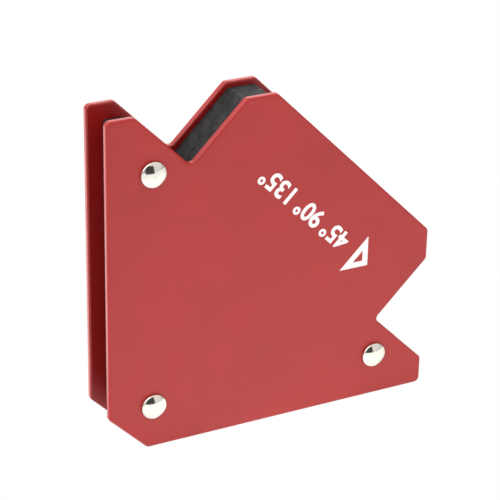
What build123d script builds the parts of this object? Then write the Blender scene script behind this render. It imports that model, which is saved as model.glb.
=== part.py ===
from build123d import *
import math
import os

# Arrow-shaped magnetic welding holder: two painted steel pole plates, riveted together over a filler and
# three ferrite magnets. It stands on its bottom edge. Millimetres, +Z up, +X towards the arrow's right arm,
# front plate towards -Y. The origin is at the middle of the bottom edge, half way between the plates.

# Outline: a square with its corners cut away. It is the same either side of the square's rising diagonal.
SIZE = 100.0                    # side of the square that the outline fills
PLAN_RADIUS = 1.6               # rounding of each corner, seen from the front
CORNER_CUT = 11.5               # leg of the 45 degree cut between the upright edge and the bottom edge
ARM_END = 8.2                   # flat end of each arm
NOTCH_DEPTH = 16.3              # depth of each 90 degree V notch
SLOPE_LEG = SIZE / 2            # leg of the big cut, whose hypotenuse is the sloping edge

# Thicknesses, front to back
PLATE_THICKNESS = 2.2           # steel sheet with its paint
GAP = 11.0                      # between the plates, filled by the magnets, the filler and the spacers
OUTER_ARRIS_RADIUS = 0.75       # rounding of the plates' edges, on the side away from the filler
INNER_ARRIS_RADIUS = 0.6        # and on the side towards it

# Filler: how far each of its edges stands back from the plates' edges
WORKING_EDGE_RECESS = 4.7       # at the upright edge, the bottom edge, the cut between them and the arm ends
OTHER_EDGE_RECESS = 1.6         # at the notches, the crowns and the sloping edge
FILLER_RADIUS = 0.8             # rounding of the filler's corners
POCKET_CLEARANCE = 0.2          # round each magnet and spacer

# Magnets: blocks as deep as the gap, poles towards the plates
MAGNET_LENGTH = 40.0
MAGNET_WIDTH = 25.0
MAGNET_CHAMFER = 0.5
MAGNET_WALL = 2.5               # filler left between a magnet and the nearest edge of the filler
MAGNET_MIDDLE = 56.0            # middle of the upright and base magnets, up or along from the square corner

# Rivets
RIVET_INSET = 13.2              # rivet centre from the nearest edge
RIVET_FAR = 83.4                # centre of the arm's rivet from the square corner
SHANK_DIAMETER = 4.8
HOLE_DIAMETER = 5.0
SPACER_DIAMETER = 7.4
HEAD_DIAMETER = 7.5
HEAD_HEIGHT = 2.0
HEAD_RIM = 0.8                  # upright rim under the dome
HEAD_EDGE_RADIUS = 0.6          # rounding between the rim and the dome
CLINCH_DIAMETER = 7.2           # end of the shank, rolled outwards over the back plate
CLINCH_HEIGHT = 1.3
BORE_DIAMETER = 3.4             # hollow end of the shank
BORE_DEPTH = 5.0                # from the back plate's outer face to the end of the straight wall
BORE_CONE_DEPTH = 0.85          # of the drill point beyond it

ROOT_2 = math.sqrt(2)
THICKNESS = GAP + 2 * PLATE_THICKNESS
FRONT = -THICKNESS / 2
BACK = THICKNESS / 2
INNER_FRONT = -GAP / 2
INNER_BACK = GAP / 2

RIVET_PLACES = {
    "upper": (RIVET_INSET, RIVET_FAR),
    "corner": (RIVET_INSET, RIVET_INSET),
    "right": (RIVET_FAR, RIVET_INSET),
}


def place(x, z):
    """Point of the mid-plane, from its distances to the upright edge and the bottom edge."""
    return Vector(x - SIZE / 2, 0, z)


def arrow_corners(working_recess=0.0, other_recess=0.0):
    """Corners of the outline, clockwise, with its edges moved inwards by the two recesses."""
    near = working_recess
    arm_end = SIZE - working_recess
    crown = SIZE - other_recess
    cut_sum = CORNER_CUT + working_recess * ROOT_2
    slope_sum = 2 * SIZE - SLOPE_LEG - other_recess * ROOT_2
    notch_x = ARM_END + NOTCH_DEPTH
    notch_z = SIZE - NOTCH_DEPTH - other_recess * ROOT_2
    upper = [
        (near, cut_sum - near),
        (near, arm_end),
        (notch_x - (arm_end - notch_z), arm_end),
        (notch_x, notch_z),
        (notch_x + (crown - notch_z), crown),
        (slope_sum - crown, crown),
    ]
    lower = [(z, x) for x, z in reversed(upper)]
    return upper + lower


def arrow_slab(corners, radius, front, back):
    """Solid with the given outline, from front to back along Y."""
    outline = Polyline(*[(x - SIZE / 2, z) for x, z in corners], close=True)
    face = make_face(outline)
    face = fillet(face.vertices(), radius)
    return extrude(Plane.XZ.offset(-back) * face, back - front)


def rod_along_y(diameter, front, back, centre):
    """Round bar along Y whose axis passes through the given point of the mid-plane."""
    rod = Cylinder(diameter / 2, back - front, rotation=(90, 0, 0))
    return Pos(centre.X, (front + back) / 2, centre.Z) * rod


def front_edges(body):
    """Edges round the face at the front end of the body."""
    return body.faces().sort_by(Axis.Y)[0].edges()


def back_edges(body):
    """Edges round the face at the back end of the body."""
    return body.faces().sort_by(Axis.Y)[-1].edges()


def pole_plate(front, back, front_arris_radius, back_arris_radius):
    """Steel side plate with rounded edges and three rivet holes."""
    plate = arrow_slab(arrow_corners(), PLAN_RADIUS, front, back)
    plate = fillet(front_edges(plate), front_arris_radius)
    plate = fillet(back_edges(plate), back_arris_radius)
    for x, z in RIVET_PLACES.values():
        plate -= rod_along_y(HOLE_DIAMETER, front, back, place(x, z))
    return plate


def magnet_places():
    """Centre of each magnet and the angle that its long side makes with the upright edge."""
    inward = WORKING_EDGE_RECESS + MAGNET_WALL + MAGNET_WIDTH / 2
    slope_distance = (2 * SIZE - SLOPE_LEG) / ROOT_2
    slope_inward = OTHER_EDGE_RECESS + MAGNET_WALL + MAGNET_WIDTH / 2
    on_diagonal = (slope_distance - slope_inward) / ROOT_2
    return {
        "upright": (place(inward, MAGNET_MIDDLE), 0),
        "base": (place(MAGNET_MIDDLE, inward), 90),
        "slope": (place(on_diagonal, on_diagonal), -45),
    }


def block(width, length, centre, angle):
    """Bar of the gap's depth, turned about Y by the given angle."""
    return Pos(centre.X, 0, centre.Z) * Rot(0, angle, 0) * Box(width, GAP, length)


def magnet(centre, angle):
    """Ferrite block with a small chamfer round both pole faces."""
    body = block(MAGNET_WIDTH, MAGNET_LENGTH, centre, angle)
    return chamfer(front_edges(body) + back_edges(body), MAGNET_CHAMFER)


def core_filler():
    """Filler slab with a window for each magnet and a hole for each spacer."""
    corners = arrow_corners(WORKING_EDGE_RECESS, OTHER_EDGE_RECESS)
    filler = arrow_slab(corners, FILLER_RADIUS, INNER_FRONT, INNER_BACK)
    for centre, angle in magnet_places().values():
        width = MAGNET_WIDTH + 2 * POCKET_CLEARANCE
        length = MAGNET_LENGTH + 2 * POCKET_CLEARANCE
        filler -= block(width, length, centre, angle)
    for x, z in RIVET_PLACES.values():
        hole_diameter = SPACER_DIAMETER + 2 * POCKET_CLEARANCE
        filler -= rod_along_y(hole_diameter, INNER_FRONT, INNER_BACK, place(x, z))
    return filler


def spacer(centre):
    """Tube that keeps the plates apart at a rivet."""
    tube = rod_along_y(SPACER_DIAMETER, INNER_FRONT, INNER_BACK, centre)
    return tube - rod_along_y(HOLE_DIAMETER, INNER_FRONT, INNER_BACK, centre)


def rivet(centre):
    """Semi-tubular rivet: domed head in front, shank, and a hollow end rolled over behind."""
    head_radius = HEAD_DIAMETER / 2
    shank_radius = SHANK_DIAMETER / 2
    bore_radius = BORE_DIAMETER / 2
    clinch_radius = CLINCH_DIAMETER / 2
    clinch_crest = (bore_radius + clinch_radius) / 2
    dome_top = (0, FRONT - HEAD_HEIGHT)
    rim_top = (head_radius, FRONT - HEAD_RIM)
    crest = (clinch_crest, BACK + CLINCH_HEIGHT)
    bore_mouth = (bore_radius, BACK)
    bore_end = (bore_radius, BACK - BORE_DEPTH)
    bore_tip = (0, BACK - BORE_DEPTH - BORE_CONE_DEPTH)
    clinch_foot = (clinch_radius, BACK)
    under_head = [rim_top, (head_radius, FRONT), (shank_radius, FRONT)]
    under_clinch = [(shank_radius, BACK), clinch_foot]
    profile = [
        TangentArc(dome_top, rim_top, tangent=(1, 0)),
        Polyline(*under_head, *under_clinch),
        TangentArc(crest, clinch_foot, tangent=(1, 0)),
        TangentArc(crest, bore_mouth, tangent=(-1, 0)),
        Polyline(bore_mouth, bore_end, bore_tip, dome_top),
    ]
    section = make_face(Curve() + profile)
    rim_vertex = section.vertices().sort_by_distance(rim_top)[0]
    section = fillet(rim_vertex, HEAD_EDGE_RADIUS)
    return Pos(centre.X, 0, centre.Z) * revolve(section, Axis.Y)


def main():
    os.makedirs("parts", exist_ok=True)
    parts = {
        "front_plate": pole_plate(FRONT, INNER_FRONT, OUTER_ARRIS_RADIUS, INNER_ARRIS_RADIUS),
        "back_plate": pole_plate(INNER_BACK, BACK, INNER_ARRIS_RADIUS, OUTER_ARRIS_RADIUS),
        "core_filler": core_filler(),
    }
    for name, (centre, angle) in magnet_places().items():
        parts[f"magnet_{name}"] = magnet(centre, angle)
    for name, (x, z) in RIVET_PLACES.items():
        parts[f"spacer_{name}"] = spacer(place(x, z))
        parts[f"rivet_{name}"] = rivet(place(x, z))
    for name, shape in parts.items():
        export_step(shape, f"parts/{name}.step")


main()
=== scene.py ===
import math

import bmesh
import bpy
from mathutils import Matrix, Vector

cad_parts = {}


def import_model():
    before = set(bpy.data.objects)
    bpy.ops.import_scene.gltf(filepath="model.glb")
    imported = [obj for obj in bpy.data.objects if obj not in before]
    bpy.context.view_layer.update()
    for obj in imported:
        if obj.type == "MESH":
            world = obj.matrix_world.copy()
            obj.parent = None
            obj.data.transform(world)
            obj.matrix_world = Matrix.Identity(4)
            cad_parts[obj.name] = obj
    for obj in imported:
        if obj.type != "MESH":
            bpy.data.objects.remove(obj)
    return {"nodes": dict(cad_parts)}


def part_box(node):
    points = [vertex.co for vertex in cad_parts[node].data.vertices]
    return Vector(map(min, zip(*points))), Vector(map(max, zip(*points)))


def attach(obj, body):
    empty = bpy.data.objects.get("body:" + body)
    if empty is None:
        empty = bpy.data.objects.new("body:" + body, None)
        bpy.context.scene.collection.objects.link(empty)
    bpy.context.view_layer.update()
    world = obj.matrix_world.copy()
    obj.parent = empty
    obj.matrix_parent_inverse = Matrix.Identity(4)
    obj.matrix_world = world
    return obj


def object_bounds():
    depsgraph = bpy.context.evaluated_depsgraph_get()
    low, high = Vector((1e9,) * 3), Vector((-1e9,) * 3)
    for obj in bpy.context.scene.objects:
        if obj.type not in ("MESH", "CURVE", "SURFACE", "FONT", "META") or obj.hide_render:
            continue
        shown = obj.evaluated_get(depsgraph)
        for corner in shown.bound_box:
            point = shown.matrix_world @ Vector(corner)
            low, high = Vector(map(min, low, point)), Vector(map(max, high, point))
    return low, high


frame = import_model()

CAD_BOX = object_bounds()
MM = 0.001

# Camera
CAMERA_AZIMUTH = -27.485        # degrees from the front, minus to the left
CAMERA_ELEVATION = 26.027
CAMERA_ROLL = 1.204
CAMERA_DISTANCE = 563.8 * MM
CAMERA_AIM = Vector((-7.62, -7.7, 55.3)) * MM
CAMERA_NEAR = 10 * MM           # nothing nearer is drawn
SENSOR_WIDTH = 36.0
FOCAL_LENGTH = 148.09

# Print on the front plate, measured from the upright edge and the bottom edge
NUMBERS_START = (72.9 * MM, 51.2 * MM)
NUMBERS_TEXT = "45° 90° 135°"
NUMBERS_SIZE = 7.5 * MM         # of the type: a digit is 0.70 of it high, before it is made bolder
NUMBERS_WORD_SPACE = 0.7        # of the type's own
NUMBERS_BOLDER = 0.19 * MM      # added all round each stroke
SHORTEST_SIDE = 0.02 * MM       # of a figure's outline
SHARPEST_CORNER = 0.3           # limits how far a sharp corner grows: about 32 degrees
SQUARE_CORNER = (80.0 * MM, 42.9 * MM)
SQUARE_LEG = 9.0 * MM
SQUARE_TURN = -45               # degrees from the numbers' direction to one arm of the set square
SQUARE_BAR = 1.7 * MM           # width of the set square's arms
INK_THICKNESS = 0.03 * MM
INK_SINK = 0.01 * MM            # into the paint

# Colours, linear. A pair is the darkest and the lightest of a mottled surface.
WHITE = (1.0, 1.0, 1.0)
BLACK = (0.0, 0.0, 0.0)
RED = (0.352, 0.0083, 0.0065)
RED_CLOUDS = 0.05                       # share by which the red varies, either way
PAINTED_SHADE_RED = (0.25, 0.0032, 0.0023)       # painted shade: darker red on the faces between the plates
PAINTED_SHADE_FADE = 0.8 * MM                    # depth over which the painted shade goes over into the red
THIN_RED = (0.46, 0.022, 0.016)         # in patches along the edges
THIN_SHARE = 0.5                        # of the thin red in those patches
THIN_SHINE = 0.06                       # how much less rough they are
NICKEL = ((0.665, 0.63, 0.565), (0.735, 0.70, 0.635))
FILLER = ((0.007, 0.0065, 0.0065), (0.025, 0.023, 0.023))
FILLER_FLECK = (0.06, 0.06, 0.058)
FERRITE = ((0.018, 0.018, 0.020), (0.07, 0.07, 0.073))
ALUMINIUM = ((0.66, 0.66, 0.68), (0.82, 0.82, 0.84))
INK_SOLID = (0.90, 0.87, 0.86)
INK_THIN = (0.82, 0.66, 0.64)
CARD_BLACK = (0.03, 0.03, 0.03)
MATT = 0.9                              # roughness of the floor and the card

# Where edges are found: a normal rounded off over the edge's radius is compared with the true one
EDGE_SAMPLES = 6
FLAT_COSINE = 0.99
EDGE_COSINE = 0.80

# Soft patches of light in the sky: azimuth (0 behind the object, 90 to its right), elevation, half angle and
# softness in degrees, and the radiance that the patch adds. The camera itself sees plain white.
SKY_BASE = 0.42
SKY_PATCHES = {
    "left": (-85, 45, 28, 20, 2.4),
    "back_left": (-40, 40, 20, 16, 0.5),
    "back": (5, 25, 24, 18, 0.5),
    "back_right": (38, 25, 24, 18, 2.0),
    "right": (90, 45, 20, 16, 0.4),
    "front_right": (150, 30, 35, 20, 0.6),
    "front_left": (-140, 45, 20, 16, 0.5),
    "top": (0, 86, 24, 16, 0.8),
}

# Floor. Its patches are wedges that meet under the object: azimuth, half angle, softness and radiance.
FLOOR_RADIUS = 3.0
FLOOR_SEGMENTS = 96
FLOOR_BELOW = 0.02 * MM         # under the object's lowest point
FLOOR_BASE = 0.93
FLOOR_GLOW = 0.32               # added next to the object
FLOOR_GLOW_START = 30 * MM      # where the glow starts to fade
FLOOR_GLOW_END = 320 * MM       # and where it has gone
FLOOR_PATCHES = {
    "back_left": (-45, 20, 18, 1.7),
    "front": (180, 70, 20, 0.36),
}

# Dark upright card in front of the object, which shows in reflections only
CARD_WIDTH = 0.45
CARD_HEIGHT = 0.42
CARD_MIDDLE = -0.085
CARD_AWAY = 0.6


def colour(rgb):
    """The colour with full opacity."""
    return (*rgb, 1.0)


def set_inputs(node, values):
    """Gives several of a node's sockets their values."""
    for name, value in values.items():
        node.inputs[name].default_value = value


class Surface:
    """A Principled material, with short calls for the nodes that vary it.

    Coordinates are the row frame's. The base colour and roughness hold until set() links something there.
    """

    def __init__(self, name, base, roughness, metallic=0.0):
        self.material = bpy.data.materials.new(name)
        self.material.use_nodes = True
        self.nodes = self.material.node_tree.nodes
        self.links = self.material.node_tree.links
        self.shader = self.nodes["Principled BSDF"]
        set_inputs(self.shader, {"Base Color": colour(base), "Roughness": roughness, "Metallic": metallic})
        self.place = self.nodes.new("ShaderNodeTexCoord").outputs["Object"]

    def noise(self, size, detail=2.0, roughness=0.5, stretch=None):
        """Noise whose lumps are about the given size across."""
        node = self.nodes.new("ShaderNodeTexNoise")
        set_inputs(node, {"Scale": 1.0 / size, "Detail": detail, "Roughness": roughness})
        where = self.place
        if stretch:
            mapping = self.nodes.new("ShaderNodeMapping")
            mapping.inputs["Scale"].default_value = stretch
            self.links.new(where, mapping.inputs["Vector"])
            where = mapping.outputs["Vector"]
        self.links.new(where, node.inputs["Vector"])
        return node.outputs["Fac"]

    def along(self, axis):
        """The coordinate on one axis."""
        node = self.nodes.new("ShaderNodeSeparateXYZ")
        self.links.new(self.place, node.inputs["Vector"])
        return node.outputs[axis]

    def to_range(self, value, low, high, out_low=0.0, out_high=1.0):
        """The value, carried smoothly from the first range to the second and held at its ends."""
        node = self.nodes.new("ShaderNodeMapRange")
        node.interpolation_type = "SMOOTHSTEP"
        set_inputs(node, {"From Min": low, "From Max": high, "To Min": out_low, "To Max": out_high})
        self.links.new(value, node.inputs["Value"])
        return node.outputs["Result"]

    def math(self, operation, a, b):
        """A Math node's result for two values, each a number or another node's output."""
        node = self.nodes.new("ShaderNodeMath")
        node.operation = operation
        for socket, value in zip(node.inputs, (a, b)):
            if isinstance(value, (int, float)):
                socket.default_value = value
            else:
                self.links.new(value, socket)
        return node.outputs["Value"]

    def mix(self, share, first, second):
        """Colour between two, each given as numbers or as another node's output."""
        node = self.nodes.new("ShaderNodeMix")
        node.data_type = "RGBA"
        self.links.new(share, node.inputs["Factor"])
        for name, value in (("A", first), ("B", second)):
            socket = [s for s in node.inputs if s.name == name and s.type == "RGBA"][0]
            if isinstance(value, tuple):
                socket.default_value = colour(value)
            else:
                self.links.new(value, socket)
        return [s for s in node.outputs if s.type == "RGBA"][0]

    def edge_share(self, radius):
        """1 on edges sharper than the radius and 0 on flat ground."""
        bevel = self.nodes.new("ShaderNodeBevel")
        bevel.samples = EDGE_SAMPLES
        bevel.inputs["Radius"].default_value = radius
        geometry = self.nodes.new("ShaderNodeNewGeometry")
        dot = self.nodes.new("ShaderNodeVectorMath")
        dot.operation = "DOT_PRODUCT"
        self.links.new(bevel.outputs["Normal"], dot.inputs[0])
        self.links.new(geometry.outputs["Normal"], dot.inputs[1])
        return self.to_range(dot.outputs["Value"], FLAT_COSINE, EDGE_COSINE)

    def bump(self, height, distance):
        """Adds bumps to those already there: height goes from 0 to 1 and distance says how much 1 is."""
        node = self.nodes.new("ShaderNodeBump")
        set_inputs(node, {"Strength": 1.0, "Distance": distance})
        self.links.new(height, node.inputs["Height"])
        normal = self.shader.inputs["Normal"]
        if normal.is_linked:
            self.links.new(normal.links[0].from_socket, node.inputs["Normal"])
        self.links.new(node.outputs["Normal"], normal)

    def set(self, name, source):
        """Links another node's output to the shader."""
        self.links.new(source, self.shader.inputs[name])


def red_paint():
    """Satin powder paint: a fine orange peel, slightly thinner and lighter along the edges, with painted
    shade darkening it between the plates.
    """
    paint = Surface("red_paint", RED, 0.4)
    cloud = paint.to_range(paint.noise(18 * MM, detail=3), 0.3, 0.7)
    darkest = tuple(c * (1 - RED_CLOUDS) for c in RED)
    lightest = tuple(c * (1 + RED_CLOUDS) for c in RED)
    body = paint.mix(cloud, darkest, lightest)
    # Painted shade: the faces between the plates, and the plate edges just past them, get a darker red that
    # stands in for the shade there.
    inner_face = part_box("back_plate")[0].y
    depth = paint.math("ABSOLUTE", paint.along("Y"), 0.0)
    painted_shade = paint.to_range(depth, inner_face, inner_face + PAINTED_SHADE_FADE, 1.0, 0.0)
    body = paint.mix(painted_shade, body, PAINTED_SHADE_RED)
    edge = paint.edge_share(radius=0.7 * MM)
    patchy = paint.to_range(paint.noise(2.2 * MM, detail=4, roughness=0.65), 0.42, 0.62)
    thin = paint.math("MULTIPLY", edge, patchy)
    paint.set("Base Color", paint.mix(paint.math("MULTIPLY", thin, THIN_SHARE), body, THIN_RED))
    gloss = paint.to_range(paint.noise(7 * MM, detail=4, roughness=0.6), 0.25, 0.75, 0.36, 0.44)
    paint.set("Roughness", paint.math("SUBTRACT", gloss, paint.math("MULTIPLY", thin, THIN_SHINE)))
    paint.bump(paint.noise(1.3 * MM, detail=1.5), 0.012 * MM)
    paint.bump(paint.noise(0.25 * MM, detail=2), 0.0015 * MM)
    return paint.material


def nickel_plate():
    """Bright nickel: almost a mirror, with faint handling scratches and soft press marks."""
    nickel = Surface("nickel_plate", (0.70, 0.665, 0.60), 0.1, metallic=1.0)
    cloud = nickel.to_range(nickel.noise(3 * MM, detail=3), 0.3, 0.7)
    nickel.set("Base Color", nickel.mix(cloud, *NICKEL))
    haze = nickel.noise(0.6 * MM, detail=5, roughness=0.7)
    nickel.set("Roughness", nickel.to_range(haze, 0.3, 0.8, 0.05, 0.16))
    nickel.bump(nickel.noise(0.12 * MM, detail=3, stretch=(1.0, 1.0, 9.0)), 0.0006 * MM)
    nickel.bump(nickel.noise(1.6 * MM, detail=1), 0.004 * MM)
    return nickel.material


def filler():
    """Dull charcoal resin with a mottled cast surface."""
    resin = Surface("filler", (0.04, 0.04, 0.04), 0.7)
    mottle = resin.to_range(resin.noise(3.5 * MM, detail=5, roughness=0.62), 0.3, 0.7)
    body = resin.mix(mottle, *FILLER)
    fleck = resin.to_range(resin.noise(0.5 * MM, detail=3, roughness=0.7), 0.60, 0.72, 0.0, 0.6)
    resin.set("Base Color", resin.mix(fleck, body, FILLER_FLECK))
    resin.set("Roughness", resin.to_range(resin.noise(1.2 * MM, detail=4), 0.3, 0.7, 0.6, 0.85))
    resin.shader.inputs["Specular IOR Level"].default_value = 0.25
    resin.bump(resin.noise(2.4 * MM, detail=4), 0.12 * MM)
    resin.bump(resin.noise(0.35 * MM, detail=3), 0.02 * MM)
    return resin.material


def ferrite():
    """Sintered ferrite: near-black ceramic with a fine grey grain and ground faces."""
    block = Surface("ferrite", (0.03, 0.03, 0.032), 0.55)
    grain = block.to_range(block.noise(0.4 * MM, detail=4, roughness=0.7), 0.35, 0.7)
    block.set("Base Color", block.mix(grain, *FERRITE))
    block.set("Roughness", block.to_range(block.noise(1.5 * MM, detail=3), 0.3, 0.7, 0.4, 0.65))
    block.bump(block.noise(0.2 * MM, detail=3, stretch=(1.0, 6.0, 1.0)), 0.004 * MM)
    return block.material


def turned_aluminium():
    """Cut tube: fine turning lines round its axis, which lies along Y."""
    tube = Surface("spacer_aluminium", (0.75, 0.75, 0.77), 0.3, metallic=1.0)
    lines = tube.noise(0.8 * MM, detail=3, stretch=(1.0, 30.0, 1.0))
    tube.set("Base Color", tube.mix(lines, *ALUMINIUM))
    tube.set("Roughness", tube.to_range(lines, 0.3, 0.7, 0.25, 0.42))
    tube.bump(lines, 0.006 * MM)
    return tube.material


def white_ink():
    """Screen ink: matt white, a little uneven where the mesh left it thin."""
    ink = Surface("white_ink", (0.85, 0.83, 0.82), 0.5)
    thin = ink.to_range(ink.noise(0.7 * MM, detail=4, roughness=0.6), 0.40, 0.75)
    ink.set("Base Color", ink.mix(thin, INK_SOLID, INK_THIN))
    ink.set("Roughness", ink.to_range(ink.noise(1.1 * MM, detail=3), 0.3, 0.7, 0.42, 0.6))
    ink.bump(ink.noise(0.3 * MM, detail=2), 0.004 * MM)
    return ink.material


MATERIAL_OF = {
    "plate": red_paint(),
    "rivet": nickel_plate(),
    "filler": filler(),
    "magnet": ferrite(),
    "spacer": turned_aluminium(),
}
INK = white_ink()


def mesh_object(name, bm, material):
    """Turns finished mesh work into an object of the scene."""
    mesh = bpy.data.meshes.new(name)
    bm.to_mesh(mesh)
    bm.free()
    mesh.materials.append(material)
    made = bpy.data.objects.new(name, mesh)
    bpy.context.scene.collection.objects.link(made)
    return made


def dress_cad_nodes():
    """Gives each CAD node the material that a word of its name stands for."""
    for name, node in frame["nodes"].items():
        for word, material in MATERIAL_OF.items():
            if word in name:
                node.data.materials.clear()
                node.data.materials.append(material)


def print_frame(x, z):
    """Matrix that lays flat work on the front plate, with its origin at x and z.

    The work reads up towards the left.
    """
    run = Vector((-1, 0, 1)).normalized()
    up = Vector((-1, 0, -1)).normalized()
    out = Vector((0, -1, 0))
    low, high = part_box("front_plate")
    matrix = Matrix((run, up, out)).transposed().to_4x4()
    matrix.translation = Vector((low.x + x, low.y + INK_SINK, low.z + z))
    return matrix


def ink_piece(name, bm, matrix):
    """Gives flat faces the ink's thickness and lays them on the plate."""
    bmesh.ops.recalc_face_normals(bm, faces=bm.faces)
    if bm.faces[0].normal.z < 0:
        bmesh.ops.reverse_faces(bm, faces=bm.faces)
    grown = bmesh.ops.extrude_face_region(bm, geom=bm.faces[:], use_keep_orig=True)["geom"]
    top = [item for item in grown if isinstance(item, bmesh.types.BMVert)]
    bmesh.ops.translate(bm, verts=top, vec=(0, 0, INK_THICKNESS + INK_SINK))
    bmesh.ops.recalc_face_normals(bm, faces=bm.faces)
    bm.transform(matrix)
    piece = mesh_object(name, bm, INK)
    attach(piece, "root")


def outward(vert):
    """How far a corner of flat work moves when its outline grows by 1 all round."""
    total = Vector()
    for edge in vert.link_edges:
        if edge.is_boundary:
            loop = edge.link_loops[0]
            along = (loop.link_loop_next.vert.co - loop.vert.co).normalized()
            total += Vector((along.y, -along.x, 0))
    return total * 2 / max(total.length_squared, SHARPEST_CORNER)


def embolden(bm, amount):
    """Grows the outline of flat work, then fills it again."""
    moves = [(vert, outward(vert) * amount) for vert in bm.verts]
    for vert, move in moves:
        vert.co += move
    inner_edges = [edge for edge in bm.edges if not edge.is_boundary]
    bmesh.ops.delete(bm, geom=inner_edges, context="EDGES_FACES")
    bmesh.ops.triangle_fill(bm, use_beauty=True, edges=bm.edges[:])


def number_print():
    """The working angles, in plain figures."""
    curve = bpy.data.curves.new("numbers", "FONT")
    curve.body = NUMBERS_TEXT
    curve.size = NUMBERS_SIZE
    curve.align_y = "CENTER"
    curve.space_word = NUMBERS_WORD_SPACE
    source = bpy.data.objects.new("numbers_source", curve)
    bpy.context.scene.collection.objects.link(source)
    bpy.context.view_layer.update()
    flat = bpy.data.meshes.new_from_object(source.evaluated_get(bpy.context.evaluated_depsgraph_get()))
    bpy.data.objects.remove(source)
    bm = bmesh.new()
    bm.from_mesh(flat)
    bmesh.ops.remove_doubles(bm, verts=bm.verts, dist=SHORTEST_SIDE)
    embolden(bm, NUMBERS_BOLDER)
    ink_piece("angle_numbers", bm, print_frame(*NUMBERS_START))


def triangle(bm, inset):
    """Corners whose sides stand the given distance inside the set square's."""
    tip = SQUARE_LEG - inset * (1 + math.sqrt(2))
    return [bm.verts.new((x, y, 0)) for x, y in ((inset, inset), (tip, inset), (inset, tip))]


def set_square_print():
    """A 45 degree set square with a triangular window, its long side towards the numbers."""
    bm = bmesh.new()
    outer = triangle(bm, 0)
    inner = triangle(bm, SQUARE_BAR)
    for i in range(3):
        j = (i + 1) % 3
        bm.faces.new((outer[i], outer[j], inner[j], inner[i]))
    turn = Matrix.Rotation(math.radians(SQUARE_TURN), 4, "Z")
    ink_piece("set_square_mark", bm, print_frame(*SQUARE_CORNER) @ turn)


def camera():
    """Looks at the aim from the given direction and distance."""
    azimuth = math.radians(CAMERA_AZIMUTH)
    elevation = math.radians(CAMERA_ELEVATION)
    back = Vector((
        math.sin(azimuth) * math.cos(elevation),
        -math.cos(azimuth) * math.cos(elevation),
        math.sin(elevation),
    ))
    data = bpy.data.cameras.new("camera")
    data.sensor_width = SENSOR_WIDTH
    data.lens = FOCAL_LENGTH
    data.clip_start = CAMERA_NEAR
    body = bpy.data.objects.new("camera", data)
    bpy.context.scene.collection.objects.link(body)
    roll = Matrix.Rotation(math.radians(CAMERA_ROLL), 4, "Z")
    turn = back.to_track_quat("Z", "Y").to_matrix().to_4x4()
    body.matrix_world = Matrix.Translation(CAMERA_AIM + back * CAMERA_DISTANCE) @ turn @ roll
    bpy.context.scene.camera = body


def direction(azimuth, elevation):
    """Unit vector; azimuth 0 is +Y and 90 is +X."""
    a, e = math.radians(azimuth), math.radians(elevation)
    return Vector((math.sin(a) * math.cos(e), math.cos(a) * math.cos(e), math.sin(e)))


def patch_of_light(tree, way, axis, half_angle, softness, radiance):
    """Radiance inside a soft-edged cone round the axis, for the unit vector in the socket called way."""
    dot = tree.nodes.new("ShaderNodeVectorMath")
    dot.operation = "DOT_PRODUCT"
    dot.inputs[1].default_value = axis
    tree.links.new(way, dot.inputs[0])
    ramp = tree.nodes.new("ShaderNodeMapRange")
    ramp.interpolation_type = "SMOOTHSTEP"
    set_inputs(ramp, {
        "From Min": math.cos(math.radians(half_angle + softness)),
        "From Max": math.cos(math.radians(half_angle - softness)),
        "To Min": 0.0,
        "To Max": radiance,
    })
    tree.links.new(dot.outputs["Value"], ramp.inputs["Value"])
    return ramp.outputs["Result"]


def add_up(tree, base, parts):
    """Socket with the sum of a number and of some sockets."""
    total = base
    for part in parts:
        add = tree.nodes.new("ShaderNodeMath")
        add.operation = "ADD"
        if isinstance(total, float):
            add.inputs[0].default_value = total
        else:
            tree.links.new(total, add.inputs[0])
        tree.links.new(part, add.inputs[1])
        total = add.outputs["Value"]
    return total


def white_to_camera(tree, light):
    """Radiance 1 for what the camera sees, and the given radiance for what the object sees."""
    path = tree.nodes.new("ShaderNodeLightPath")
    choice = tree.nodes.new("ShaderNodeMix")
    choice.inputs["B"].default_value = 1.0
    tree.links.new(path.outputs["Is Camera Ray"], choice.inputs["Factor"])
    tree.links.new(light, choice.inputs["A"])
    return choice.outputs["Result"]


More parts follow.
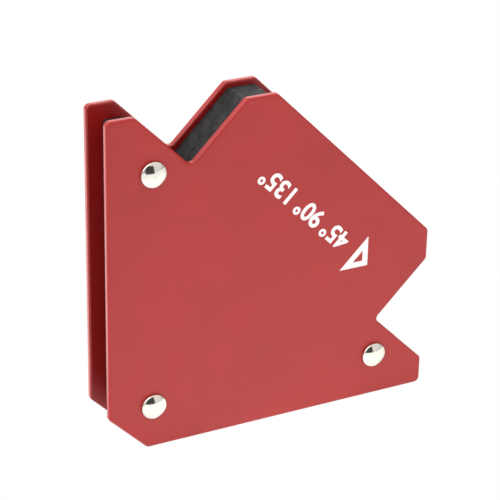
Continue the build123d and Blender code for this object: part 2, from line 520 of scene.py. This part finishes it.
def world():
    """White to the camera, and a soft studio to the object."""
    studio = bpy.data.worlds.new("studio")
    bpy.context.scene.world = studio
    studio.use_nodes = True
    tree = studio.node_tree
    way = tree.nodes.new("ShaderNodeTexCoord").outputs["Generated"]
    parts = []
    for azimuth, elevation, half_angle, softness, radiance in SKY_PATCHES.values():
        axis = direction(azimuth, elevation)
        parts.append(patch_of_light(tree, way, axis, half_angle, softness, radiance))
    light = tree.nodes["Background"]
    light.inputs["Color"].default_value = colour(WHITE)
    white = white_to_camera(tree, add_up(tree, SKY_BASE, parts))
    tree.links.new(white, light.inputs["Strength"])


def floor():
    """Round floor: plain white to the camera, and to the object a glow that is stronger near it."""
    paper = Surface("floor_white", BLACK, MATT)
    paper.shader.inputs["Specular IOR Level"].default_value = 0.0
    tree = paper.material.node_tree
    unit = tree.nodes.new("ShaderNodeVectorMath")
    unit.operation = "NORMALIZE"
    tree.links.new(paper.place, unit.inputs[0])
    distance = tree.nodes.new("ShaderNodeVectorMath")
    distance.operation = "LENGTH"
    tree.links.new(paper.place, distance.inputs[0])
    way = unit.outputs["Vector"]
    parts = [paper.to_range(distance.outputs["Value"], FLOOR_GLOW_START, FLOOR_GLOW_END, FLOOR_GLOW, 0.0)]
    for azimuth, half_angle, softness, radiance in FLOOR_PATCHES.values():
        axis = direction(azimuth, 0)
        parts.append(patch_of_light(tree, way, axis, half_angle, softness, radiance))
    paper.shader.inputs["Emission Color"].default_value = colour(WHITE)
    paper.set("Emission Strength", white_to_camera(tree, add_up(tree, FLOOR_BASE, parts)))
    bm = bmesh.new()
    bmesh.ops.create_circle(bm, cap_ends=True, segments=FLOOR_SEGMENTS, radius=FLOOR_RADIUS)
    ground = mesh_object("floor", bm, paper.material)
    ground.location = (0, 0, CAD_BOX[0].z - FLOOR_BELOW)


def card():
    """Upright dark card that shows in reflections and lets the light through."""
    bm = bmesh.new()
    low, high = CARD_MIDDLE - CARD_WIDTH / 2, CARD_MIDDLE + CARD_WIDTH / 2
    corners = ((low, 0), (high, 0), (high, CARD_HEIGHT), (low, CARD_HEIGHT))
    bm.faces.new([bm.verts.new((x, -CARD_AWAY, z)) for x, z in corners])
    sheet = mesh_object("dark_card", bm, Surface("card_black", CARD_BLACK, MATT).material)
    sheet.visible_camera = False
    sheet.visible_diffuse = False
    sheet.visible_transmission = False
    sheet.visible_shadow = False


dress_cad_nodes()
number_print()
set_square_print()
camera()
world()
floor()
card()
bpy.context.scene.view_settings.view_transform = "Standard"
